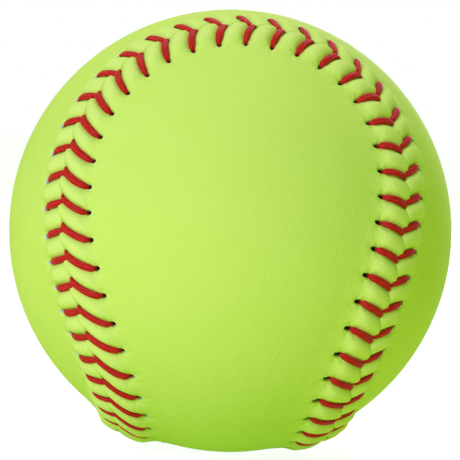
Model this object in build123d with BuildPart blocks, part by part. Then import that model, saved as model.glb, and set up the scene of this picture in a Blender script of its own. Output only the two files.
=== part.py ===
"""Twelve-inch softball: moulded core, two cemented leather panels and the two threads that sew them."""
import os
from math import cos, hypot, pi, radians, sin

from build123d import *

# Layers of the ball, millimetres
ball_circumference = 304.8
leather_thickness = 1.6
cement_thickness = 0.25

# Seam line on the ball: lobes from a third harmonic, turns up and down twice round, and a slight lean
seam_lobe = 0.49
seam_rise = 1.065
seam_lean = radians(-6.1)
seam_gap = 0.3

# Stitches: the needle holes lie beside the seam line, and each stitch runs forward to its tip in the seam
stitches_per_quarter = 22
hole_offset = 6.3
stitch_lead = 2.9
stitch_creep = 1.3
tip_spacing = 1.6

# Waxed thread, and the room it needs in the holes and under the leather
thread_diameter = 1.0
thread_clearance = 0.1
thread_end_gap = 1.5

# Leather along the seam: a thinned edge over the thread channel, and a rounded pillow between stitches
edge_thickness = 0.8
channel_margin = 0.3
band_margin = 0.8
pillow_height = 1.4
pillow_clearance = 0.6
pillow_seam_offset = 2.3
pillow_hole_offset = 4.2

# Sizes that follow
ball_radius = ball_circumference / (2 * pi)
panel_inner_radius = ball_radius - leather_thickness
core_radius = panel_inner_radius - cement_thickness
thread_radius = thread_diameter / 2
passage_radius = thread_radius + thread_clearance
longest_run = hypot(hole_offset, stitch_lead + stitch_creep + tip_spacing)
run_sag = longest_run**2 / (8 * core_radius)
bend_radius = thread_radius + thread_clearance + run_sag
under_radius = core_radius + bend_radius
channel_top = under_radius + bend_radius
channel_offset = hole_offset + passage_radius + channel_margin
band_radius = max(ball_radius, channel_top + edge_thickness)
band_offset = channel_offset + band_margin
over_radius = band_radius + bend_radius

# How finely the closed curves are drawn
stitch_count = 4 * stitches_per_quarter
curve_points = stitch_count
wall_foot = core_radius / 3
wall_head = 2 * ball_radius
cutter_floor = core_radius / 2

LOWER, UPPER = -1, 1


def seam_direction(turn):
    """Direction from the ball's centre to the seam line, turn running from 0 to 1."""
    angle = 2 * pi * turn
    x = cos(angle + pi / 4) + seam_lobe * cos(3 * angle - pi / 4)
    y = sin(angle + pi / 4) - seam_lobe * sin(3 * angle - pi / 4)
    z = seam_rise * sin(2 * angle + seam_lean)
    return Vector(x, y, z).normalized()


def closed_curve(points):
    """Smooth closed edge through points."""
    with BuildLine() as curve:
        Spline(*points, periodic=True)
    return curve.edge()


seam_line = closed_curve([seam_direction(i / curve_points) * ball_radius for i in range(curve_points)])
seam_length = seam_line.length
stitch_pitch = seam_length / stitch_count


def beside_seam(along, offset, radius):
    """Point a length along the seam, an offset towards the upper panel, at a distance from the centre."""
    share = along / seam_length % 1
    outward = (seam_line @ share).normalized()
    across = outward.cross(seam_line % share).normalized()
    angle = offset / ball_radius
    return (outward * cos(angle) + across * sin(angle)) * radius


def seam_wall(offset):
    """Wall of flat facets that stands square to the ball along the seam line, moved sideways by an offset."""
    stations = [i * seam_length / curve_points for i in range(curve_points + 1)]
    foot = [beside_seam(along, offset, wall_foot) for along in stations]
    head = [beside_seam(along, offset, wall_head) for along in stations]
    return Shell([
        Face(Wire.make_polygon([foot[i], foot[i + 1], head[i + 1], head[i]])) for i in range(curve_points)
    ])


def spherical_layer(inner_radius, outer_radius):
    """Whole hollow sphere."""
    with BuildPart() as layer:
        Sphere(outer_radius)
        Sphere(inner_radius, mode=Mode.SUBTRACT)
    return layer.part.solid()


def lower_side(layer, wall):
    """Piece of a layer on the lower panel's side of a wall."""
    return layer.split(wall, keep=Keep.ALL).sort_by(Axis.Z)[0]


def seam_side(layer, wall):
    """Piece of a lower side that lies between a wall and the seam."""
    return layer.split(wall, keep=Keep.ALL).sort_by(Axis.Z)[-1]


def stitch_station(stitch):
    """Length along the seam at the tip of a stitch."""
    return stitch * stitch_pitch


def hole_station(stitch, side):
    """Length along the seam at a needle hole: the two rows creep against each other round the lobes."""
    along = stitch_station(stitch)
    return along - stitch_lead + side * stitch_creep * cos(4 * pi * along / seam_length)


def tip_station(stitch, side):
    """Length along the seam where a stitch goes down: round a lobe, the lobe's own stitch reaches further."""
    lobe_side = LOWER if stitch // stitches_per_quarter % 2 == 0 else UPPER
    return stitch_station(stitch) + side * lobe_side * tip_spacing / 2


def radial_place(along, offset):
    """Place on the core's surface with its Z axis pointing out of the ball."""
    point = beside_seam(along, offset, core_radius)
    return Location(Plane(origin=point, z_dir=point))


def pillow_place(stitch):
    """Place of the pillow behind a stitch of the lower panel: Z axis along the pillow, X axis outwards."""
    seam_end = (tip_station(stitch, LOWER) + tip_station(stitch - 1, LOWER)) / 2
    hole_end = (hole_station(stitch, LOWER) + hole_station(stitch - 1, LOWER)) / 2
    drift = (hole_end - seam_end) / hole_offset
    radius = band_radius + pillow_height - pillow_radius
    start = beside_seam(seam_end + drift * pillow_seam_offset, LOWER * pillow_seam_offset, radius)
    end = beside_seam(seam_end + drift * pillow_hole_offset, LOWER * pillow_hole_offset, radius)
    middle = (start + end) / 2
    return Location(Plane(origin=middle, x_dir=middle, z_dir=end - start))


pillow_radius = (stitch_pitch - thread_diameter) / 2 - pillow_clearance
pillow_length = pillow_hole_offset - pillow_seam_offset
pillow_base = pillow_radius - pillow_height - edge_thickness / 2
stitches = range(stitch_count)
edge_wall = seam_wall(LOWER * seam_gap / 2)
channel_wall = seam_wall(LOWER * channel_offset)
band_wall = seam_wall(LOWER * band_offset)

# Moulded polyurethane core
with BuildPart() as moulded_core:
    Sphere(core_radius)

# Cement under the lower panel, clear of the thread channel
with BuildPart() as lower_cement_film:
    add(lower_side(spherical_layer(core_radius, panel_inner_radius), channel_wall))

# One leather pillow: a round bar with domed ends, flat where it is one with the leather below
with BuildPart() as pillow:
    Cylinder(pillow_radius, pillow_length)
    with Locations((0, 0, -pillow_length / 2), (0, 0, pillow_length / 2)):
        Sphere(pillow_radius)
    split(bisect_by=Plane.YZ.offset(pillow_base))

# Lower leather panel: two lobes and the neck under the ball, raised and thinned along its edge
panel_body = lower_side(spherical_layer(panel_inner_radius, ball_radius), edge_wall)
raised_side = lower_side(spherical_layer(panel_inner_radius, band_radius), edge_wall)
raised_band = seam_side(raised_side, band_wall)
thread_channel = seam_side(spherical_layer(cutter_floor, channel_top), channel_wall)
hole_places = [radial_place(hole_station(stitch, LOWER), LOWER * hole_offset) for stitch in stitches]
tip_places = [radial_place(tip_station(stitch, side), 0) for stitch in stitches for side in (LOWER, UPPER)]
with BuildPart() as lower_cover_panel:
    add(panel_body)
    add(raised_band)
    add(thread_channel, mode=Mode.SUBTRACT)
    with Locations(*hole_places, *tip_places):
        Cylinder(passage_radius, wall_head - core_radius, mode=Mode.SUBTRACT)
    with Locations(*[pillow_place(stitch) for stitch in stitches]):
        add(pillow.part)

# Upper panel and its cement: the same pieces, turned a quarter turn and upside down
with BuildPart() as upper_cover_panel:
    with Locations(Rotation(0, 0, 90)):
        add(mirror(lower_cover_panel.part, about=Plane.XY, mode=Mode.PRIVATE))
with BuildPart() as upper_cement_film:
    with Locations(Rotation(0, 0, 90)):
        add(mirror(lower_cement_film.part, about=Plane.XY, mode=Mode.PRIVATE))


def run_before(stitch, side, shift):
    """Point on the run under the leather that leads to a stitch, shifted from the run's middle."""
    start = beside_seam(tip_station(stitch - 1, -side), 0, under_radius)
    end = beside_seam(hole_station(stitch, side), side * hole_offset, under_radius)
    return (start + end) / 2 + (end - start).normalized() * shift


def stitch_route(stitch, side):
    """Corners of one stitch: up its hole, over to the seam, down, and on under the other panel."""
    hole = hole_station(stitch, side)
    tip = tip_station(stitch, side)
    start_shift = thread_end_gap / 2 if stitch == stitches[0] else 0
    end_shift = -thread_end_gap / 2 if stitch == stitches[-1] else 0
    return [
        run_before(stitch, side, start_shift),
        beside_seam(hole, side * hole_offset, under_radius),
        beside_seam(hole, side * hole_offset, over_radius),
        beside_seam(tip, 0, over_radius),
        beside_seam(tip, 0, under_radius),
        run_before(stitch + 1, -side, end_shift),
    ]


def thread_path(first_side):
    """Whole route of one thread, which takes the two panels in turn."""
    runs = []
    for stitch in stitches:
        with BuildLine() as run:
            FilletPolyline(*stitch_route(stitch, first_side * (-1) ** stitch), radius=bend_radius)
        runs.extend(run.edges())
    return Wire(runs)


first_path = thread_path(LOWER)
second_path = thread_path(UPPER)

# Thread of the first needle
with BuildPart() as first_seam_thread:
    with BuildSketch(Plane(origin=first_path @ 0, z_dir=first_path % 0)):
        Circle(thread_radius)
    sweep(path=first_path)

# Thread of the second needle
with BuildPart() as second_seam_thread:
    with BuildSketch(Plane(origin=second_path @ 0, z_dir=second_path % 0)):
        Circle(thread_radius)
    sweep(path=second_path)

os.makedirs("parts", exist_ok=True)
pieces = {
    "moulded_core": moulded_core,
    "lower_cement_film": lower_cement_film,
    "upper_cement_film": upper_cement_film,
    "lower_cover_panel": lower_cover_panel,
    "upper_cover_panel": upper_cover_panel,
    "first_seam_thread": first_seam_thread,
    "second_seam_thread": second_seam_thread,
}
for name, piece in pieces.items():
    piece.part.label = name
    export_step(piece.part, f"parts/{name}.step")

print(f"seam {seam_length:.1f} mm, pitch {stitch_pitch:.2f} mm, bends {bend_radius:.2f} mm")
section = pi * thread_radius**2
for thread, path in ((first_seam_thread, first_path), (second_seam_thread, second_path)):
    print(f"thread {path.length:.0f} mm, volume {thread.part.volume:.1f} of {section * path.length:.1f} mm3")
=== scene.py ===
# %% [markdown]
# # A softball with a raised, hand-sewn seam
# The real ball is a moulded core with two figure-eight pieces of leather cemented on and sewn edge to
# edge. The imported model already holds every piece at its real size, so it is loaded first, as a frame
# that is never moved. The leather and the thread are then built again here, because their looks come from
# soft shapes: puffs of leather between the stitches, and flattened, twisted thread.

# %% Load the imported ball
import math

import bpy
import numpy as np
from mathutils import Matrix, Vector


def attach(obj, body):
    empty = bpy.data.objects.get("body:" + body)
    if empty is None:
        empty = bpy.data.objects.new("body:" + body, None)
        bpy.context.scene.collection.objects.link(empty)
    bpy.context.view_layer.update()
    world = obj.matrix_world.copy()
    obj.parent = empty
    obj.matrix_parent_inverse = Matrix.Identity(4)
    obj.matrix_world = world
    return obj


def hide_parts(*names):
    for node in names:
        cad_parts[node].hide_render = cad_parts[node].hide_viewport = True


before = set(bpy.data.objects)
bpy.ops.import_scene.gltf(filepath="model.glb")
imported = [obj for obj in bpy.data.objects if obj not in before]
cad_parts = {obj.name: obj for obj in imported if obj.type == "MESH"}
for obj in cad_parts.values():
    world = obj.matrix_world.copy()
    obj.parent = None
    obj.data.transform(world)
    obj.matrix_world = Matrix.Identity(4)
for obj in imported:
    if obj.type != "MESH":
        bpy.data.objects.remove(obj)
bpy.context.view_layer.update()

print("nodes in the frame:", ", ".join(sorted(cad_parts)))

# %% [markdown]
# ## Camera
# The ball fills the frame, and its outline is a circle, so a long lens stands well back from it: that
# keeps the seam lines on both sides nearly parallel, as they are in a catalogue picture. The camera could
# be aimed by hand. Here it is placed by its angles round the ball and a small roll, because those few
# numbers are easy to read and to change. Its focal length and the offset of the ball's centre are given
# in pixels of the picture.

# %% Camera
MM = 0.001
BALL_CIRCUMFERENCE = 304.8 * MM
BALL_RADIUS = BALL_CIRCUMFERENCE / (2 * math.pi)
CAMERA_AZIMUTH = math.radians(-1.54)
CAMERA_ELEVATION = math.radians(3.05)
CAMERA_ROLL = math.radians(-3.36)
CAMERA_DISTANCE = 593 * MM
IMAGE_SIDE = 460
FOCAL_PIXELS = 2695
PIXELS_RIGHT, PIXELS_DOWN = 0.3, 0.8


def camera_axes():
    """Right, up and back directions at the camera's azimuth and elevation, rolled about back."""
    level = math.cos(CAMERA_ELEVATION)
    back = Vector((
        math.sin(CAMERA_AZIMUTH) * level,
        -math.cos(CAMERA_AZIMUTH) * level,
        math.sin(CAMERA_ELEVATION),
    ))
    right = Vector((0, 0, 1)).cross(back).normalized()
    up = back.cross(right)
    turned_up = up * math.cos(CAMERA_ROLL) + right * math.sin(CAMERA_ROLL)
    return turned_up.cross(back), turned_up, back


lens = bpy.data.cameras.new("camera")
lens.lens = lens.sensor_width * FOCAL_PIXELS / IMAGE_SIDE
lens.shift_x = -PIXELS_RIGHT / IMAGE_SIDE
lens.shift_y = PIXELS_DOWN / IMAGE_SIDE
camera = bpy.data.objects.new("camera", lens)
axes = camera_axes()
camera.matrix_world = Matrix.Translation(axes[2] * CAMERA_DISTANCE) @ Matrix(axes).transposed().to_4x4()
bpy.context.scene.collection.objects.link(camera)
bpy.context.scene.camera = camera
print(f"camera: {lens.lens:.0f} mm lens, {CAMERA_DISTANCE / BALL_RADIUS:.1f} ball radii away")

# %% [markdown]
# ## The seam line
# Both panels share one closed line. It could be drawn by hand on a sphere, but a short formula gives it
# all its symmetry: the lobes come from a third harmonic, and the line rises and falls twice on its way
# round. Everything sewn along it needs lengths, not angles, so a table of running lengths turns a length
# into a place on the line. `beside_seam` is the one map that all the soft pieces use.

# %% Seam line
SEAM_LOBE = 0.49
SEAM_RISE = 1.065
SEAM_LEAN = math.radians(-6.1)
TABLE_STEPS = 20000
TANGENT_STEP = 1e-4


def unit(vectors):
    """Vectors scaled to length one."""
    return vectors / np.linalg.norm(vectors, axis=-1, keepdims=True)


def seam_direction(turn):
    """Direction to the seam: a circle with third-harmonic lobes in x and y, and two rises and falls in z."""
    x = np.cos(turn + np.pi / 4) + SEAM_LOBE * np.cos(3 * turn - np.pi / 4)
    y = np.sin(turn + np.pi / 4) - SEAM_LOBE * np.sin(3 * turn - np.pi / 4)
    z = SEAM_RISE * np.sin(2 * turn + SEAM_LEAN)
    return unit(np.stack([x, y, z], axis=-1))


table_turn = np.linspace(0, 2 * np.pi, TABLE_STEPS + 1)
table_step = np.linalg.norm(np.diff(seam_direction(table_turn), axis=0), axis=1)
table_length = np.append(0, np.cumsum(table_step)) * BALL_RADIUS
SEAM_LENGTH = table_length[-1]


def seam_axes(along):
    """Outward, forward and sideways directions along the seam; sideways points to the upper panel."""
    turn = np.interp(along % SEAM_LENGTH, table_length, table_turn)
    outward = seam_direction(turn)
    forward = unit(seam_direction(turn + TANGENT_STEP) - seam_direction(turn - TANGENT_STEP))
    return outward, forward, np.cross(outward, forward)


def beside_seam(along, across, height):
    """Point at a length along the seam, a length across it and a height above the smooth leather."""
    along, across, height = np.broadcast_arrays(along, across, height)
    outward, _, sideways = seam_axes(along)
    angle = (across / BALL_RADIUS)[..., None]
    return (outward * np.cos(angle) + sideways * np.sin(angle)) * (BALL_RADIUS + height)[..., None]


print(f"seam line {SEAM_LENGTH / MM:.1f} mm long")

# %% [markdown]
# ## The stitches
# Each stitch comes up through a needle hole, leans forward across the leather and goes down in the seam,
# so a row of stitches looks like a row of open chevrons. One stitch could be modelled and copied 176
# times, but no two on a sewn ball are alike. So a stitch is only a number here, every length is a
# function of that number, and each stitch gets small, seeded offsets of its own.

# %% Stitch plan
STITCHES = 88
PITCH = SEAM_LENGTH / STITCHES
LOWER, UPPER = -1, 1
SIDES = (LOWER, UPPER)
SEWING_SEED = 88
sewing = np.random.default_rng(SEWING_SEED)


def uneven(spread):
    """One seeded offset per stitch and side, spread evenly about zero."""
    return {side: sewing.uniform(-spread, spread, STITCHES) for side in SIDES}


hole_slip = uneven(0.15 * MM)
hole_reach = uneven(0.14 * MM)
tip_slip = uneven(0.18 * MM)
thread_fullness = uneven(0.09)
puff_fullness = uneven(0.08)
pucker_turn = uneven(math.pi)


def at_stitch(values, stitch):
    """Per-stitch values read between stitches, straight from one to the next and closed round the seam."""
    return np.interp(stitch % STITCHES, np.arange(STITCHES + 1), np.append(values, values[0]))


def lobe_angle(stitch):
    """Angle round the lobes: one full turn for half of the stitches, which pass one lobe of each panel."""
    return 4 * np.pi * stitch / STITCHES


print(f"{STITCHES} stitches, {PITCH / MM:.2f} mm apart")

# %% [markdown]
# ## Where a stitch lies
# The lower panel's stitch is a flat ribbon that is cut off slantwise along the seam, and its partner from
# the upper panel meets the rear corner of that end. Round a lobe the rows of holes and tips drift against
# each other, and the sewing hand also wanders slowly. Every place could be noted down stitch by stitch. A
# cosine, a sine and two slow waves say the same in a few numbers, in millimetres, which are easier to
# change.

# %% Holes and tips
HOLE_OFFSET = 6.4 * MM
HOLE_PLACE = {LOWER: (-3.0, -2.1, 0.1), UPPER: (-2.65, 0.4, -1.3)}
TIP_PLACE = (-0.35, -0.45, -0.6)
PARTNER_BEHIND = 1.0 * MM
DRIFT = 0.8
WANDER = 0.42
WANDER_WAVES = 6
WANDER_START = 50
SWEEP = {LOWER: 1.2, UPPER: 1.5}


def round_lobe(stitch, mean, in_and_out, top):
    """Length round a lobe: a mean, a cosine, a sine, a drift at twice the angle and a slow wander."""
    turn = lobe_angle(stitch)
    wave = np.cos(2 * np.pi * WANDER_WAVES * (stitch - WANDER_START) / STITCHES)
    wander = WANDER * wave * (1 - np.cos(turn)) / 2
    return (mean + in_and_out * np.cos(turn) + top * np.sin(turn) - DRIFT * np.sin(2 * turn) + wander) * MM


def tip_shift(stitch, side):
    """Length from a stitch's station to its tip; the upper panel's tip lies a set length behind."""
    return round_lobe(stitch, *TIP_PLACE) - (PARTNER_BEHIND if side == UPPER else 0)


def stitch_share(across):
    """Way along a stitch: 0 at its needle hole, 1 at the seam line."""
    return np.clip(1 - across / HOLE_OFFSET, 0, 1)


def stitch_shift(stitch, side, share):
    """Length from a stitch's station to its thread: from hole to tip, by a low power of the share."""
    hole = round_lobe(stitch, *HOLE_PLACE[side]) + at_stitch(hole_slip[side], stitch)
    tip = tip_shift(stitch, side) + at_stitch(tip_slip[side], stitch)
    return hole + (tip - hole) * share ** SWEEP[side]


every_stitch = np.arange(STITCHES)
lean = {side: stitch_shift(every_stitch, side, 1) - stitch_shift(every_stitch, side, 0) for side in SIDES}
print(f"mean lean: {lean[LOWER].mean() / MM:.1f} mm (lower panel), {lean[UPPER].mean() / MM:.1f} mm (upper)")

# %% [markdown]
# ## The waving edge
# Seen closely, the two panels do not meet in a smooth line: between two tips the seam waves out round a
# puff of leather. The sewing also draws the rows of holes in, by a little more on some stretches than on
# others. Points could be pushed about afterwards. Here the wave is part of the map, so leather and thread
# follow it together.

# %% Waving edge
WAVE_START = 0.85 * MM
WAVE_END = 0.86
WAVE_LEAN = 1.35
WAVE_HEIGHT = 0.85 * MM
WAVE_REST = 0.45
WAVE_REACH = 1.6 * MM
TIGHTNESS = {LOWER: 0.045, UPPER: 0.08}
TIGHTNESS_CHANGE = 0.045
NECK_SPREAD = 0.07


def seam_wave(along):
    """Sideways wave of the seam: past each tip it bows out as a leaning half sine, then rests."""
    stitch = along / PITCH
    way = (stitch - (tip_shift(stitch, LOWER) + WAVE_START) / PITCH) % 1
    bow = np.sin(np.pi * np.clip(way / WAVE_END, 0, 1) ** WAVE_LEAN)
    return WAVE_HEIGHT * (bow - WAVE_REST)


def sewn_across(along, side, across):
    """Signed length across the seam: the distance less a tightness, which on the lower panel
    changes with a cosine, spread by a sine towards the neck, plus the wave close to the seam."""
    turn = lobe_angle(along / PITCH)
    tightness = np.where(side == LOWER, TIGHTNESS[LOWER] - TIGHTNESS_CHANGE * np.cos(turn), TIGHTNESS[UPPER])
    spread = 1 - tightness + NECK_SPREAD * side * np.sin(turn)
    return side * across * spread + seam_wave(along) * np.exp(-np.abs(across) / WAVE_REACH)


wave = seam_wave(table_length)
print(f"the seam waves by {(wave.max() - wave.min()) / MM:.2f} mm")

# %% [markdown]
# ## Puffs of leather
# Tight thread presses the leather down along each stitch, and between two stitches it puffs up. A puff is
# steepest beside the thread and flat on top, which is a power curve of the distance from the thread.
# Across the seam the puff rolls over into the groove on one side and runs out between the needle holes on
# the other. Sculpting could give such forms, but a height over the sphere keeps the surface closed, and
# the same numbers give masks for its colours.

# %% Puffs
HALFWAY = 0.5
THREAD_WIDTH = {LOWER: 1.5 * MM, UPPER: 1.55 * MM}
HOLE_NARROWING = {LOWER: 0.12, UPPER: 0.4}
NARROWING_CHANGE = {LOWER: 0.0, UPPER: 0.25}
TIP_NARROWING = {LOWER: 0.1, UPPER: 0.12}
TIP_START = 0.7
PUFF_HEIGHT = 1.85 * MM
PUFF_REACH = 6.3 * MM
PUFF_FADE = 0.72 * MM
PUFF_POWER = 2.3
PUFF_CREST = 2.8 * MM
EDGE_ROLL = 0.75 * MM
EDGE_LIFT = 1.1 * MM
SWELL_HEIGHT = 0.3 * MM
SWELL_FADE = (7 * MM, 12 * MM)
PRESSED_AT_HOLE, PRESSED_MORE = 0.08, 0.3
PRESSED_WIDTH = 0.85
SQUARE_TO_THREAD = 0.92


def ease(low, high, value):
    """Smooth step: 0 below low, 1 above high, a cubic between."""
    way = np.clip((value - low) / (high - low), 0, 1)
    return way * way * (3 - 2 * way)


def thread_half_width(stitch, side, share):
    """Half width of a flattened stitch: narrower at its tip and, by a cosine round a lobe, at its hole."""
    in_hole, at_tip = 1 - ease(0, HALFWAY, share), ease(TIP_START, 1, share)
    narrowing = HOLE_NARROWING[side] - NARROWING_CHANGE[side] * np.cos(lobe_angle(stitch))
    return THREAD_WIDTH[side] / 2 * (1 - narrowing * in_hole - TIP_NARROWING[side] * at_tip)


def puff_profile(across):
    """Height of a puff across the seam: an exponential roll at the edge, a logistic fall past the holes."""
    roll = 1 - np.exp(-(across + EDGE_LIFT) / EDGE_ROLL)
    return PUFF_HEIGHT * roll / (1 + np.exp((across - PUFF_REACH) / PUFF_FADE))


def swell_profile(across):
    """Low swell of the leather along the whole seam: one height that eases out."""
    return SWELL_HEIGHT * (1 - ease(*SWELL_FADE, across))


def pressed_share(share):
    """Share of the puff's height that is left under the thread: little at the hole, more from halfway on."""
    return PRESSED_AT_HOLE + PRESSED_MORE * ease(0, HALFWAY, share)


def from_thread(stitch):
    """Signed length along the seam from the nearest stitch."""
    return (stitch - np.round(stitch)) * PITCH


def puff_between(stitch, side, share):
    """0 under a thread, 1 midway between two: one minus a power of the way still to go."""
    distance = np.abs(from_thread(stitch)) * SQUARE_TO_THREAD
    pressed = PRESSED_WIDTH * thread_half_width(stitch, side, share)
    way = np.clip((distance - pressed) / (SQUARE_TO_THREAD / 2 * PITCH - pressed), 0, 1)
    return 1 - (1 - way) ** PUFF_POWER


print(f"puffs stand {(puff_profile(PUFF_CREST) + SWELL_HEIGHT) / MM:.2f} mm above the smooth leather")

# %% [markdown]
# ## Needle holes
# The thread pulls each needle hole into a rounded slit, on the lower panel longer on one side of a lobe
# than on the other. A boolean could cut the slits out, but it would spoil the even grid. Instead a
# distance that is 1 all along a slit's rim says where the same grid sinks into the hole, rises at the
# rim, puckers round it and dents.

# %% Needle holes
SLIT_LENGTH = 0.9 * MM
SLIT_STRETCH = {LOWER: 0.14 * MM, UPPER: -0.02 * MM}
SLIT_WIDTH = {LOWER: 0.57 * MM, UPPER: 0.48 * MM}
SLIT_TAPER = 0.1
SLIT_POWER = 2.5
SLIT_DEPTH = 0.8 * MM
SLIT_WALL = (0.5, 1.05)
SLIT_CENTRE = 0.48 * MM
HOLE_MIDDLE = HOLE_OFFSET + SLIT_CENTRE
RIM_HEIGHT = 0.08 * MM
RIM_MIDDLE, RIM_SPREAD = 1.25, 0.22
PUCKERS = 5
PUCKER_DEPTH = 0.13 * MM
PUCKER_MIDDLE, PUCKER_SPREAD = 2.3, 0.6
DENT_DEPTH = 0.3 * MM
DENT_REACH = 1.5 * MM


def bell(value, middle, spread):
    """Bell curve: 1 at the middle, and falling with the square of the distance from it in spreads."""
    return np.exp(-(((value - middle) / spread) ** 2))


def slit_distance(stitch, side, across):
    """Distance from a slit's middle, 1 at its rim: a superellipse whose length changes with a cosine
    round a lobe, and which narrows a little away from the seam."""
    nearest = np.round(stitch)
    stretch = SLIT_STRETCH[side] * np.cos(lobe_angle(nearest))
    middle = HOLE_MIDDLE - stretch + at_stitch(hole_reach[side], nearest)
    lengthwise = (across - middle) / (SLIT_LENGTH - stretch)
    width = SLIT_WIDTH[side] * (1 - SLIT_TAPER * np.clip(lengthwise, -1, 1))
    sidewise = from_thread(stitch) / width
    return (np.abs(lengthwise) ** SLIT_POWER + np.abs(sidewise) ** SLIT_POWER) ** (1 / SLIT_POWER)


def pucker(stitch, side, across):
    """Ripples like spokes round a slit: a cosine of the angle, in a bell outside the rim."""
    angle = np.arctan2(from_thread(stitch), across - HOLE_MIDDLE)
    spokes = np.cos(PUCKERS * angle + at_stitch(pucker_turn[side], np.round(stitch)))
    return spokes * bell(slit_distance(stitch, side, across), PUCKER_MIDDLE, PUCKER_SPREAD)


def leather_height(stitch, side, across):
    """Height above the smooth ball: swell, puffs pressed down under the thread, rims and puckers, less
    the dents and the slits."""
    share = stitch_share(across)
    pressed = pressed_share(share)
    full = 1 + at_stitch(puff_fullness[side], stitch - HALFWAY)
    puffs = puff_profile(across) * (pressed + (1 - pressed) * full * puff_between(stitch, side, share))
    slit = slit_distance(stitch, side, across)
    rim = RIM_HEIGHT * bell(slit, RIM_MIDDLE, RIM_SPREAD)
    ripples = PUCKER_DEPTH * pucker(stitch, side, across)
    dent = DENT_DEPTH * bell(np.hypot(from_thread(stitch), across - HOLE_MIDDLE), 0, DENT_REACH)
    return swell_profile(across) + puffs + rim + ripples - dent - SLIT_DEPTH * (1 - ease(*SLIT_WALL, slit))


print(f"slits about {2 * SLIT_LENGTH / MM:.1f} mm long, sunk by {SLIT_DEPTH / MM:.1f} mm")

# %% [markdown]
# ## Grid of a panel
# A panel is one grid, folded like a book. A cut sphere would be quicker, but its points would not follow
# the sewing. Here the columns follow the stitches, close together at each thread, so the holes and the
# pressed leather get most of the points, and the rows run from the seam over the puffs. A second set of
# rows lies underneath. Along the seam it leaves the leather thin, because the hidden thread needs room
# there. All these rows are given in millimetres.

# %% Rows and columns
COLUMNS_PER_STITCH = 18
COLUMN_GATHER = 0.55
ROW_MARKS = (0, 1.2, 5.3, 7.8, 11)
ROWS_BETWEEN = (6, 12, 13, 5)
UNDERSIDE_ACROSS = (11, 8.3, 7.7, 5.6, 5.0, 0)
UNDERSIDE_HEIGHT = (-1.45, -1.45, -0.95, -0.95, -0.5, -0.5)
FIRST_STITCH = {LOWER: 55, UPPER: 33}
SEAM_GAP = 0.06 * MM


def panel_columns(side):
    """Stitch numbers of the columns, from a lobe's top round the seam, drawn to each thread by a sine."""
    count = np.arange(STITCHES * COLUMNS_PER_STITCH) / COLUMNS_PER_STITCH
    return FIRST_STITCH[side] + count - COLUMN_GATHER * np.sin(2 * np.pi * count) / (2 * np.pi)


def panel_rows():
    """Distances of the rows from the seam: even between marks, closest at the edge and the holes."""
    row_at_mark = np.cumsum((0, *ROWS_BETWEEN))
    return np.interp(np.arange(row_at_mark[-1] + 1), row_at_mark, ROW_MARKS) * MM


def band_places(side, stitch, across):
    """Length along and across the seam for grid points: columns lean with the stitches, the edge waves."""
    along = stitch * PITCH + stitch_shift(stitch, side, stitch_share(across))
    return along, sewn_across(along, side, across + SEAM_GAP / 2)


print(f"{panel_rows().size} rows and {panel_columns(LOWER).size} columns beside the seam")

# %% [markdown]
# ## Middle of a panel
# Inside its sewn band a panel is smooth. From the last row of the band, each column runs on along a great
# circle to a spine down the middle of the panel. Filling the middle with one face or with a pole would
# pinch the leather. On a spine the two halves of the panel meet at shared points, and the leather stays
# smooth.

# %% Middle of a panel
SPINE_REACH = math.radians(107)
SPINE_GATHER = 0.8
LOBE_TOP = math.radians(154)
NECK = {LOWER: np.array((0, 0, -1)), UPPER: np.array((0, 0, 1))}
FRONT = {LOWER: np.array((0, -1, 0)), UPPER: np.array((-1, 0, 0))}


def spine(side, stitch):
    """Points of the spine that each column runs to: its angle from the neck, folded so both halves share
    it, and gathered towards the ends by a share of a sine."""
    outward = seam_axes(stitch * PITCH)[0]
    angle = np.arctan2(outward @ FRONT[side], outward @ NECK[side])
    folded = (angle + np.roll(angle[::-1], 1)) / 2 / LOBE_TOP
    spread = SPINE_REACH * (SPINE_GATHER * np.sin(np.pi / 2 * folded) + (1 - SPINE_GATHER) * folded)
    return np.cos(spread)[:, None] * NECK[side] + np.sin(spread)[:, None] * FRONT[side]


def great_circles(start, end, ways):
    """Directions on the great circles from start to end, at ways from 0 to 1."""
    angle = np.arccos(np.clip(np.sum(start * end, axis=-1), -1, 1))[None, :, None]
    way = ways[:, None, None]
    return (np.sin((1 - way) * angle) * start + np.sin(way * angle) * end) / np.sin(angle)


def closed_grid(rows, columns):
    """Quads of a grid whose columns close up into a ring."""
    row, column = np.meshgrid(np.arange(rows - 1), np.arange(columns), indexing="ij")
    after = (column + 1) % columns
    here, above = row * columns, (row + 1) * columns
    return np.stack([here + column, here + after, above + after, above + column], axis=-1).reshape(-1, 4)


def folded_row(first, spine_first, columns):
    """Quads from a ring of points to a spine, where column c and column -c share one point."""
    column = np.arange(columns)
    after = (column + 1) % columns
    fold, fold_after = np.minimum(column, columns - column), np.minimum(after, columns - after)
    return np.stack([first + column, first + after, spine_first + fold_after, spine_first + fold], axis=-1)


print(f"spine {2 * math.degrees(SPINE_REACH):.0f} degrees long")

# %% [markdown]
# ## Masks for the finish
# The finish paints shade and light where the sewing shaped the leather, and shows fraying at the holes, so
# it has to know where that is. It could be painted by hand. Here the numbers behind the height are kept
# with the points instead: painted shade inside a slit, frayed fibres at its far end, painted shade in the
# pressed leather beside the thread and a painted highlight on the crowns of the puffs. A circle as long as
# the seam, and the distance beside it, give a place for fine lines that follow the seam.

# %% Masks for the finish
# Edge of the painted shade inside a slit, in steps of the slit distance.
HOLE_SHADE_EDGE = (0.84, 1.04)
FRAYING = {LOWER: 0.25, UPPER: 0.6}
FRAYING_CHANGE = 0.4
FRAYED_END = (0.4 * MM, 1.2 * MM)
FRAYED_MIDDLE, FRAYED_SPREAD = 0.95, 0.26
VALLEY_SHADE_FADE = (5.5 * MM, 8 * MM)
LINES_FADE = (5 * MM, 8 * MM)


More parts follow.
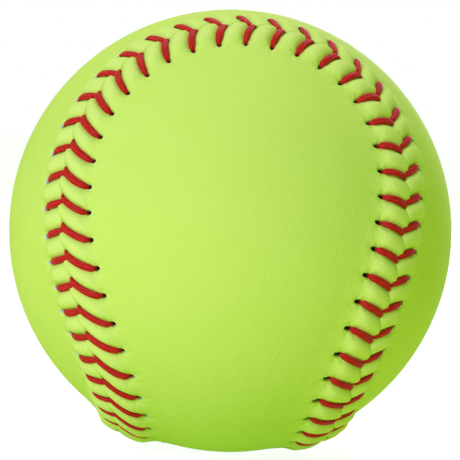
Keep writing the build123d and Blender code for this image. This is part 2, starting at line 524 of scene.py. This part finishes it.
def panel_masks(side, stitch, across, along):
    """One number per point of the band and mask: steps and bells of the slit distance, the square of what
    a puff lacks, its height as a share, and a cosine and a sine round the loop."""
    everywhere = np.ones_like(along)
    slit = slit_distance(stitch, side, across)
    frayed = np.maximum(0, FRAYING[side] + FRAYING_CHANGE * np.cos(lobe_angle(np.round(stitch))))
    far_end = ease(*FRAYED_END, across - HOLE_OFFSET)
    puff = puff_between(stitch, side, stitch_share(across))
    loop = SEAM_LENGTH / (2 * np.pi)
    return {
        # painted shade: the inside of each needle hole is painted nearly black
        "slit": 1 - ease(*HOLE_SHADE_EDGE, slit),
        "raw_edge": frayed * far_end * bell(slit, FRAYED_MIDDLE, FRAYED_SPREAD),
        # painted shade: the pressed leather beside each thread is painted darker
        "valley_shade": (1 - puff) ** 2 * (1 - ease(*VALLEY_SHADE_FADE, across)),
        # painted highlight: the crowns of the puffs are painted paler
        "crown_highlight": puff * puff_profile(across) / PUFF_HEIGHT,
        "loop_x": loop * np.cos(along / loop),
        "loop_y": loop * np.sin(along / loop),
        "beside": across * everywhere,
        "band": (1 - ease(*LINES_FADE, across)) * everywhere,
    }


print(f"fine lines fade out {LINES_FADE[1] / MM:.0f} mm from the seam")

# %% [markdown]
# ## Build both panels
# A panel is cut from a flat hide, but on the ball it is a closed sheet with an outside, an underside and
# an edge in the seam. Solidify could give it thickness, yet the underside has a shape of its own. So the
# rows go round the edge, from the spine below to the spine above, and one function builds both panels.

# %% Build both panels
LEATHER_THICKNESS = 1.45 * MM
INNER_RADIUS = BALL_RADIUS - LEATHER_THICKNESS
OUTER_ROWS, INNER_ROWS = 10, 5


def between(count):
    """Even ways from 0 to 1 without the two ends."""
    return np.linspace(0, 1, count + 2)[1:-1]


def panel_surface(side):
    """Rows of points from the underside's last great circle to the outside's, the spine, and the masks."""
    stitch = panel_columns(side)[None, :]
    across = panel_rows()[:, None]
    along, sideways = band_places(side, stitch, across)
    outer = beside_seam(along, sideways, leather_height(stitch, side, across))
    under_across = np.array(UNDERSIDE_ACROSS)[:, None] * MM
    under_height = np.array(UNDERSIDE_HEIGHT)[:, None] * MM
    under = beside_seam(*band_places(side, stitch, under_across), under_height)
    middle = spine(side, stitch[0])
    inner_fill = great_circles(unit(under[0]), middle, between(INNER_ROWS)[::-1]) * INNER_RADIUS
    outer_fill = great_circles(unit(outer[-1]), middle, between(OUTER_ROWS)) * BALL_RADIUS
    bare_rows = ((INNER_ROWS + len(under), OUTER_ROWS), (0, 0))
    masks = panel_masks(side, stitch, across, along)
    masks = {label: np.pad(values, bare_rows) for label, values in masks.items()}
    return np.concatenate([inner_fill, under, outer, outer_fill]), middle, masks


def make_piece(name, points, faces, **masks):
    """New object at the origin from points and quads, smooth, with one number per point for each mask."""
    mesh = bpy.data.meshes.new(name)
    mesh.vertices.add(len(points))
    mesh.vertices.foreach_set("co", points.astype(np.float32).ravel())
    mesh.loops.add(faces.size)
    mesh.loops.foreach_set("vertex_index", faces.astype(np.int32).ravel())
    mesh.polygons.add(len(faces))
    mesh.polygons.foreach_set("loop_start", np.arange(0, faces.size, faces.shape[1], dtype=np.int32))
    mesh.polygons.foreach_set("use_smooth", np.ones(len(faces), dtype=bool))
    for label, values in masks.items():
        attribute = mesh.attributes.new(label, "FLOAT", "POINT")
        attribute.data.foreach_set("value", values.astype(np.float32).ravel())
    mesh.update(calc_edges=True)
    piece = bpy.data.objects.new(name, mesh)
    bpy.context.scene.collection.objects.link(piece)
    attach(piece, "root")
    print(f"{name}: {len(points)} points, {2 * len(faces)} triangles")
    return piece


def make_panel(name, side):
    """Closed sheet: the rows, a folded row to the spine below and one to the spine above."""
    rows, middle, masks = panel_surface(side)
    count, columns = rows.shape[:2]
    half = columns // 2 + 1
    points = np.concatenate([rows.reshape(-1, 3), middle[:half] * INNER_RADIUS, middle[:half] * BALL_RADIUS])
    top = folded_row((count - 1) * columns, count * columns + half, columns)
    bottom = folded_row(0, count * columns, columns)[:, ::-1]
    faces = np.concatenate([closed_grid(count, columns), top, bottom])
    masks = {label: np.append(values.ravel(), np.zeros(2 * half)) for label, values in masks.items()}
    return make_piece(name, points, faces if side == UPPER else faces[:, ::-1], **masks)


lower_leather = make_panel("lower_leather", LOWER)
upper_leather = make_panel("upper_leather", UPPER)
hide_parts("lower_cover_panel")
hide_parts("upper_cover_panel")

# %% [markdown]
# ## Route of a thread
# Each needle carries its own waxed thread through the two panels in turn: up a hole, over the leather,
# down in the seam, and under the other panel to the next hole. Single stitches laid on top would do for a
# picture. A whole route costs little more, and it makes each thread one closed piece, as it is on the
# bench. The route is a table with one row per stitch: first the rings of its leg over the leather, then
# those of its run underneath.

# %% Route of a thread
THREAD_THICKNESS = 0.9 * MM
HOLE_REACH = {LOWER: -0.1 * MM, UPPER: -0.45 * MM}
TIP_REACH = {LOWER: 0.12 * MM, UPPER: -0.5 * MM}
HOLE_FULLNESS = {LOWER: 1.2, UPPER: 0.7}
TIP_FULLNESS = 0.8
OUT_OF_HOLE, INTO_SEAM = 0.08, 0.975
START_DEPTH, END_DEPTH = 0.75 * MM, 0.2 * MM
SLANTING = (0.3, 0.8)
HIDDEN_HALF_WIDTH = 0.42 * MM
HIDDEN_HEIGHT = -1.15 * MM
LEG_RINGS, RUN_RINGS = 26, 8
RING_GATHER = 1.5


def by_side(side, rule):
    """What a rule gives for the lower panel where a stitch lies there, and for the upper panel elsewhere."""
    return np.where(side == LOWER, rule(LOWER), rule(UPPER))


def thread_height(offset, way):
    """Height of a thread's middle: half its thickness above the pressed leather, sunk at both ends."""
    pressed = swell_profile(offset) + puff_profile(offset) * pressed_share(stitch_share(offset))
    over = pressed - DENT_DEPTH * bell(offset, HOLE_MIDDLE, DENT_REACH) + THREAD_THICKNESS / 2
    out_of_hole, into_seam = ease(0, OUT_OF_HOLE, way), ease(INTO_SEAM, 1, way)
    return over * out_of_hole * (1 - into_seam) - START_DEPTH * (1 - out_of_hole) - END_DEPTH * into_seam


def leg_rings(stitch, side):
    """Rings from hole to tip, closer at the tip by a power of the way: along, across, height, half width,
    half thickness and slant."""
    way = 1 - (1 - np.linspace(0, 1, LEG_RINGS)[None, :]) ** RING_GATHER
    reach = by_side(side, lambda own: HOLE_REACH[own] + at_stitch(hole_reach[own], stitch))
    offset = (HOLE_OFFSET + reach) * (1 - way) + by_side(side, TIP_REACH.get) * way
    share = stitch_share(offset)
    along = stitch * PITCH + by_side(side, lambda own: stitch_shift(stitch, own, share))
    full = 1 + by_side(side, lambda own: at_stitch(thread_fullness[own], stitch))
    width = by_side(side, lambda own: thread_half_width(stitch, own, share)) * full
    at_hole = by_side(side, HOLE_FULLNESS.get)
    thickness = THREAD_THICKNESS / 2 * full * (at_hole + (TIP_FULLNESS - at_hole) * way)
    height = thread_height(np.maximum(offset, 0), way)
    slant = ease(*SLANTING, way) * np.ones_like(along)
    return along, sewn_across(along, side, offset), height, width, thickness, slant


def run_rings(along, across):
    """Rings from each tip straight to the next hole, with the same six numbers as a leg's."""
    way = between(RUN_RINGS)[None, :]
    next_along, next_across = np.roll(along[:, :1], -1, axis=0), np.roll(across[:, :1], -1, axis=0)
    next_along[-1] += SEAM_LENGTH
    run_along = along[:, -1:] + (next_along - along[:, -1:]) * way
    run_across = across[:, -1:] + (next_across - across[:, -1:]) * way
    height = np.full_like(run_along, HIDDEN_HEIGHT)
    radius = np.full_like(run_along, HIDDEN_HALF_WIDTH)
    return run_along, run_across, height, radius, radius, np.zeros_like(run_along)


def thread_route(first_side):
    """All rings of one thread, one row per stitch, sides in turn: each leg, then the run after it."""
    stitch = every_stitch[:, None]
    legs = leg_rings(stitch, np.where(stitch % 2 == 0, first_side, -first_side))
    return [np.concatenate(pair, axis=1) for pair in zip(legs, run_rings(*legs[:2]))]


print(f"{STITCHES * (LEG_RINGS + RUN_RINGS)} rings along each thread")

# %% [markdown]
# ## Build both threads
# Over the leather the thread is pulled wide and flat, underneath it is round, and the plies of its twist
# stand out all along. A curve with a round bevel would give a wire. Here a profile is carried along the
# route instead. Its rings lean over towards the tip, so that a stitch ends slantwise along the seam.

# %% Build both threads
PLIES = 5
PLY_DEPTH = 0.07
TWIST_LENGTH = 21 * MM
THREAD_SIDES = 24
MOST_LEANING = 0.9


def softened(values):
    """Values round the whole route averaged with their neighbours, which rounds every bend a little."""
    flat = values.reshape(STITCHES * (LEG_RINGS + RUN_RINGS), -1)
    return (np.roll(flat, 1, axis=0) + 2 * flat + np.roll(flat, -1, axis=0)) / 4


def ring_axes(centre, seam_forward, slant):
    """Sideways and upward directions of the rings: square to the route, then slanted along the seam."""
    forward = unit(np.roll(centre, -1, axis=0) - np.roll(centre, 1, axis=0))
    leaning = np.sum(seam_forward * forward, axis=1, keepdims=True)
    sideways = unit(seam_forward - leaning * forward)
    steepness = leaning / np.sqrt(1 - np.clip(leaning, -MOST_LEANING, MOST_LEANING) ** 2)
    return sideways + slant * steepness * forward, np.cross(sideways, forward)


def make_thread(name, first_side):
    """Profile carried along the route: a flat ellipse that ripples once per ply and twists."""
    along, across, height, width, thickness, slant = thread_route(first_side)
    centre = softened(beside_seam(along, across, height))
    sideways, upward = ring_axes(centre, seam_axes(along.ravel())[1], softened(slant))
    length = np.append(0, np.cumsum(np.linalg.norm(np.diff(centre, axis=0), axis=1)))
    twist = 2 * np.pi * np.round(length[-1] / TWIST_LENGTH) * length[:, None] / length[-1]
    angle = 2 * np.pi * np.arange(THREAD_SIDES) / THREAD_SIDES
    ply = np.cos(PLIES * angle - twist)
    ripple = 1 + PLY_DEPTH * ply
    wide = (softened(width) * ripple * np.cos(angle))[:, :, None] * sideways[:, None, :]
    tall = (softened(thickness) * ripple * np.sin(angle))[:, :, None] * upward[:, None, :]
    points = (centre[:, None, :] + wide + tall).reshape(-1, 3)
    faces = closed_grid(len(centre) + 1, THREAD_SIDES)[:, ::-1] % len(points)
    strand = angle - twist / PLIES
    masks = {"ply": ply, "fibre_x": np.cos(strand), "fibre_y": np.sin(strand)}
    return make_piece(name, points, faces, run=np.repeat(length, THREAD_SIDES), **masks)


first_thread = make_thread("first_thread", LOWER)
second_thread = make_thread("second_thread", UPPER)
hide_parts("first_seam_thread")
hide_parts("second_seam_thread")

# %% [markdown]
# ## Writing finishes as sums
# A material is a tree of nodes, and wiring many small maths nodes by hand is slow to read. So one small
# class holds a socket, and adding or multiplying two of them adds the right node. Every other kind of
# node comes from its `node` method.

# %% Sockets with arithmetic
MIX_FACTOR, MIX_FIRST, MIX_SECOND, MIX_COLOUR = 0, 6, 7, 2


class Tone:
    """A socket of a finish's node tree; arithmetic on it adds Math nodes."""

    def __init__(self, tree, socket=None):
        self.tree = tree
        self.socket = socket

    def node(self, kind, settings=None, inputs=None, output=0):
        """New node of a kind: its settings first, then values or links for its inputs."""
        made = self.tree.nodes.new(kind)
        for name, value in (settings or {}).items():
            setattr(made, name, value)
        for key, value in (inputs or {}).items():
            if isinstance(value, Tone):
                self.tree.links.new(value.socket, made.inputs[key])
            else:
                made.inputs[key].default_value = value
        return Tone(self.tree, made.outputs[output] if len(made.outputs) else None)

    def maths(self, operation, *values):
        """New Math node for one operation on sockets or numbers."""
        return self.node("ShaderNodeMath", {"operation": operation}, dict(enumerate(values)))

    def __add__(self, other):
        return self.maths("ADD", self, other)

    def __sub__(self, other):
        return self.maths("SUBTRACT", self, other)

    def __rsub__(self, other):
        return self.maths("SUBTRACT", other, self)

    def __mul__(self, other):
        return self.maths("MULTIPLY", self, other)

    def __pow__(self, other):
        return self.maths("POWER", self, other)

    def __rpow__(self, other):
        return self.maths("POWER", other, self)

    __radd__ = __add__
    __rmul__ = __mul__


def blend(factor, first, second):
    """Colour that goes from the first to the second as a factor goes from 0 to 1."""
    inputs = {MIX_FACTOR: factor, MIX_FIRST: first, MIX_SECOND: second}
    return factor.node("ShaderNodeMix", {"data_type": "RGBA"}, inputs, output=MIX_COLOUR)


def speckle(place, scale, detail=2.0):
    """Cloudy noise from 0 to 1, about one cloud per 1 / scale metres."""
    return place.node("ShaderNodeTexNoise", None, {"Vector": place, "Scale": scale, "Detail": detail})


def mask(place, name):
    """Number stored at the points of a piece."""
    return place.node("ShaderNodeAttribute", {"attribute_name": name}, output="Fac")


def vector(x, y, z):
    """Place with three numbers as its coordinates."""
    return x.node("ShaderNodeCombineXYZ", None, {"X": x, "Y": y, "Z": z})


def relief(height, distance, strength=1.0):
    """Bump whose full height is a distance in metres."""
    return height.node("ShaderNodeBump", None, {"Height": height, "Distance": distance, "Strength": strength})


def finish(name, **constants):
    """New material with constants on its shader's sockets; gives it, its shader and object places."""
    material = bpy.data.materials.new(name)
    material.use_nodes = True
    shader = material.node_tree.nodes["Principled BSDF"]
    for socket, value in constants.items():
        shader.inputs[socket.replace("_", " ")].default_value = value
    place = Tone(material.node_tree).node("ShaderNodeTexCoord", output="Object")
    return material, shader, place


def feed(node, **tones):
    """Links tones to a node's sockets."""
    for socket, tone in tones.items():
        tone.tree.links.new(tone.socket, node.inputs[socket.replace("_", " ")])


print("sockets can be added, subtracted, multiplied and raised to a power")

# %% [markdown]
# ## Dyed leather
# Softball leather is dyed through and finished smooth: the grain is very fine, the sheen is satin, and
# fine lines run along the seam, where the leather was stretched. Shade is painted into the colour: deeper
# in the pressed leather beside the thread, and nearly black inside a hole. The crowns of the puffs get a
# painted highlight, paler, and cut fibres show pale at a hole's far end. A picture of leather could be
# wrapped round the ball, but it would smear and show a join. Noise in the ball's own space does neither.

# %% Leather finish
YELLOW = (0.60, 0.87, 0.14, 1)
YELLOW_DEEP = (0.57, 0.84, 0.112, 1)
# Painted light: a paler highlight on the crowns, and shade in the pressed leather and inside holes.
YELLOW_CROWN_HIGHLIGHT = (0.72, 0.92, 0.235, 1)
YELLOW_VALLEY_SHADE = (0.30, 0.52, 0.012, 1)
HOLE_SHADE = (0.008, 0.008, 0.006, 1)
RAW_LEATHER = (0.72, 0.74, 0.62, 1)
LEATHER_GLOSS = 0.03
CLOUD_SCALE, CLOUD_DETAIL = 90.0, 3.0
GRAIN_SCALE, GRAIN_DETAIL = 2600.0, 4.0
PORE_SCALE = 1500.0
LINES_ALONG, LINES_ACROSS = 260.0, 2600.0
CROWN_HIGHLIGHT_SHARE, VALLEY_SHADE_SHARE = 0.45, 0.42
FRAY_SCALE, FRAY_LEAST, FRAY_MORE = 900.0, 0.5, 0.7
LEATHER_ROUGH, GRAIN_ROUGH = 0.58, 0.16
GRAIN_RISE, PORE_RISE, LINE_RISE = 0.8, 0.6, 1.1
LEATHER_RELIEF, LEATHER_STRENGTH = 0.1 * MM, 0.7

leather_finish, shader, place = finish("dyed_leather", Specular_IOR_Level=LEATHER_GLOSS)
cloud = speckle(place, CLOUD_SCALE, CLOUD_DETAIL)
grain = speckle(place, GRAIN_SCALE, GRAIN_DETAIL)
pores = place.node("ShaderNodeTexVoronoi", None, {"Vector": place, "Scale": PORE_SCALE})
loop_x, loop_y = mask(place, "loop_x") * LINES_ALONG, mask(place, "loop_y") * LINES_ALONG
lines = speckle(vector(loop_x, loop_y, mask(place, "beside") * LINES_ACROSS), 1.0) * mask(place, "band")
fraying = FRAY_LEAST + FRAY_MORE * speckle(place, FRAY_SCALE)
colour = blend(cloud, YELLOW_DEEP, YELLOW)
# Painted highlight: the crowns of the puffs are painted paler.
colour = blend(mask(place, "crown_highlight") * CROWN_HIGHLIGHT_SHARE, colour, YELLOW_CROWN_HIGHLIGHT)
# Painted shade: the pressed leather beside each thread is painted darker.
colour = blend(mask(place, "valley_shade") * VALLEY_SHADE_SHARE, colour, YELLOW_VALLEY_SHADE)
# Painted shade: the inside of each needle hole is painted nearly black.
colour = blend(mask(place, "slit"), colour, HOLE_SHADE)
colour = blend(mask(place, "raw_edge") * fraying, colour, RAW_LEATHER)
bumps = GRAIN_RISE * grain + PORE_RISE * pores + LINE_RISE * lines
feed(shader, Base_Color=colour, Roughness=LEATHER_ROUGH + GRAIN_ROUGH * grain,
     Normal=relief(bumps, LEATHER_RELIEF, LEATHER_STRENGTH))
for leather in (lower_leather, upper_leather):
    leather.data.materials.append(leather_finish)
print("leather finish on both panels")

# %% [markdown]
# ## Waxed thread
# The thread is red, twisted from a few plies and waxed. Between the plies it is darker, because wax and
# shadow gather there, and fine fibres run along each ply. Modelling fibres one by one would take millions
# of faces. The masks of the thread give a place that turns with its twist, and noise stretched along that
# place draws them.

# %% Thread finish
RED = (0.64, 0.015, 0.008, 1)
RED_DEEP = (0.24, 0.003, 0.002, 1)
RED_PALE = (0.74, 0.08, 0.06, 1)
THREAD_GLOSS = 0.1
FIBRES_ROUND, FIBRES_ALONG, FIBRE_DETAIL = 8.0, 800.0, 4.0
FIBRE_CONTRAST, FIBRE_SHADE = 2.4, 0.4
PLY_LEAST, PLY_MORE = 0.5, 0.5
PALE_POWER, PALE_SHARE = 6, 4.0
THREAD_ROUGH, FIBRE_ROUGH = 0.42, 0.2
THREAD_RELIEF, THREAD_STRENGTH = 0.08 * MM, 0.8

thread_finish, shader, place = finish("waxed_thread", Specular_IOR_Level=THREAD_GLOSS)
ply = mask(place, "ply") * 0.5 + 0.5
fibre_x, fibre_y = mask(place, "fibre_x") * FIBRES_ROUND, mask(place, "fibre_y") * FIBRES_ROUND
fibre = speckle(vector(fibre_x, fibre_y, mask(place, "run") * FIBRES_ALONG), 1.0, FIBRE_DETAIL)
colour = blend((PLY_LEAST + PLY_MORE * ply) * (FIBRE_CONTRAST * fibre - FIBRE_SHADE), RED_DEEP, RED)
colour = blend(fibre ** PALE_POWER * PALE_SHARE, colour, RED_PALE)
feed(shader, Base_Color=colour, Roughness=THREAD_ROUGH + FIBRE_ROUGH * fibre,
     Normal=relief(ply + fibre, THREAD_RELIEF, THREAD_STRENGTH))
for thread in (first_thread, second_thread):
    thread.data.materials.append(thread_finish)
print("thread finish on both threads")

# %% [markdown]
# ## Core and cement
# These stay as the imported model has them. They are hidden, but someone may open the ball up, so they get
# plain finishes of their own: matte moulded foam with a fine skin, and dried cement, a little glossy and
# uneven. One flat colour would do for a hidden piece, but clouds and a skin take only one short function.

# %% Core and cement finishes
FOAM, FOAM_DEEP = (0.85, 0.80, 0.66, 1), (0.74, 0.69, 0.54, 1)
CEMENT, CEMENT_DEEP = (0.78, 0.68, 0.45, 1), (0.62, 0.51, 0.30, 1)
FOAM_CLOUDS, FOAM_ROUGH = 150.0, 0.6
CEMENT_CLOUDS, CEMENT_ROUGH = 300.0, 0.35
SKIN_SCALE, SKIN_ROUGH, SKIN_RELIEF = 3000.0, 0.2, 0.03 * MM


def plain_finish(name, light, deep, cloud_scale, rough):
    """Finish with clouds between two colours and a fine skin, which also roughens it."""
    material, shader, place = finish(name)
    cloud, skin = speckle(place, cloud_scale, CLOUD_DETAIL), speckle(place, SKIN_SCALE)
    feed(shader, Base_Color=blend(cloud, deep, light), Roughness=rough + SKIN_ROUGH * skin,
         Normal=relief(skin, SKIN_RELIEF))
    return material


inside_finishes = {
    "moulded_core": plain_finish("moulded_foam", FOAM, FOAM_DEEP, FOAM_CLOUDS, FOAM_ROUGH),
    "lower_cement_film": plain_finish("lower_cement", CEMENT, CEMENT_DEEP, CEMENT_CLOUDS, CEMENT_ROUGH),
    "upper_cement_film": plain_finish("upper_cement", CEMENT, CEMENT_DEEP, CEMENT_CLOUDS, CEMENT_ROUGH),
}
for node, material in inside_finishes.items():
    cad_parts[node].data.materials.clear()
    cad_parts[node].data.materials.append(material)
print("finishes inside:", ", ".join(inside_finishes))

# %% [markdown]
# ## Floor and air
# The ball lies on a white floor in white air. More lamps could make both white, but they would wash out
# the ball. So rays from the camera, off gloss or through glass see the floor mostly in a white glow of
# its own, with enough real shading left for the ball's shadow. All other rays meet yellow-green air and a
# warm floor, which keep the leather deep and rich in the shade. To those rays the floor also glows
# faintly yellow-green: a glow that stands in for bounce light and lights the ball from below.

# %% Floor and air
WHITE = (1, 1, 1, 1)
FLOOR_SIDE = 6.0
FLOOR_GAP = 0.05 * MM
FLOOR_PALE = (0.92, 0.92, 0.88, 1)
FLOOR_WARM = (0.72, 0.72, 0.25, 1)
FLOOR_ROUGH = 0.9
FLOOR_GLOW = 0.75
FLOOR_WHITE = 1.2
FLOOR_GLOW_AS_BOUNCE = 0.25
AIR_TINT = (0.64, 1, 0.18, 1)
AIR_STRENGTH = 0.38


def make_floor():
    """Square floor just under the ball."""
    corner = FLOOR_SIDE / 2
    low = -BALL_RADIUS - FLOOR_GAP
    corners = [(-corner, -corner, low), (corner, -corner, low), (corner, corner, low), (-corner, corner, low)]
    mesh = bpy.data.meshes.new("floor")
    mesh.from_pydata(corners, [], [(0, 1, 2, 3)])
    floor = bpy.data.objects.new("floor", mesh)
    bpy.context.scene.collection.objects.link(floor)
    return floor


def seen_directly(tone):
    """1 for rays that show a surface itself: from the camera, off gloss or through glass."""
    kinds = ("Is Camera Ray", "Is Glossy Ray", "Is Transmission Ray")
    camera_ray, glossy, through = (tone.node("ShaderNodeLightPath", output=kind) for kind in kinds)
    return tone.maths("MAXIMUM", tone.maths("MAXIMUM", camera_ray, glossy), through)


floor_finish, shader, place = finish("white_floor", Roughness=FLOOR_ROUGH)
direct = seen_directly(place)
feed(shader, Base_Color=blend(direct, FLOOR_WARM, FLOOR_PALE))
shading = Tone(floor_finish.node_tree, shader.outputs[0])
tint = blend(direct, AIR_TINT, WHITE)
glow = place.node("ShaderNodeEmission", None, {"Color": tint, "Strength": FLOOR_WHITE})
# The floor glows faintly to the rays that light the ball, standing in for bounce light from below.
glow_share = direct * (FLOOR_GLOW - FLOOR_GLOW_AS_BOUNCE) + FLOOR_GLOW_AS_BOUNCE
surface = place.node("ShaderNodeMixShader", None, {0: glow_share, 1: shading, 2: glow})
feed(floor_finish.node_tree.nodes["Material Output"], Surface=surface)
make_floor().data.materials.append(floor_finish)

world = bpy.data.worlds.new("white_air")
world.use_nodes = True
bpy.context.scene.world = world
direct = seen_directly(Tone(world.node_tree))
feed(world.node_tree.nodes["Background"], Color=blend(direct, AIR_TINT, WHITE),
     Strength=direct * (1 - AIR_STRENGTH) + AIR_STRENGTH)
print("white floor and air")

# %% [markdown]
# ## Lamps
# Three large soft lamps light the ball: the strongest in front of it on the left, one above it, and a
# weak one behind it. They are cool. With the yellow-green light of the air they come out near white, so
# the leather is paler where it is lit and deeper in the shade. One white lamp would be simpler, but then
# lit and shaded leather would differ only in brightness.

# %% Lamps
LAMP_SIDE = 0.6
LAMPS = {
    "key_lamp": {"place": (-0.61, -0.88, 0.36), "power": 13.7, "tint": (0.59, 0.465, 1)},
    "top_lamp": {"place": (0.20, 0.37, 0.91), "power": 5.2, "tint": (0.88, 0.65, 1)},
    "back_lamp": {"place": (0.28, 0.96, 0.28), "power": 4.4, "tint": (0.80, 0.60, 1)},
}


def make_lamp(name, place, power, tint):
    """Square soft lamp that faces the ball."""
    lamp = bpy.data.lights.new(name, "AREA")
    lamp.size = LAMP_SIDE
    lamp.energy = power
    lamp.color = tint
    holder = bpy.data.objects.new(name, lamp)
    holder.location = place
    holder.rotation_euler = (-Vector(place)).to_track_quat("-Z", "Y").to_euler()
    bpy.context.scene.collection.objects.link(holder)


for name, lamp in LAMPS.items():
    make_lamp(name, **lamp)
bpy.context.scene.view_settings.view_transform = "Standard"
print("lamps:", ", ".join(LAMPS))
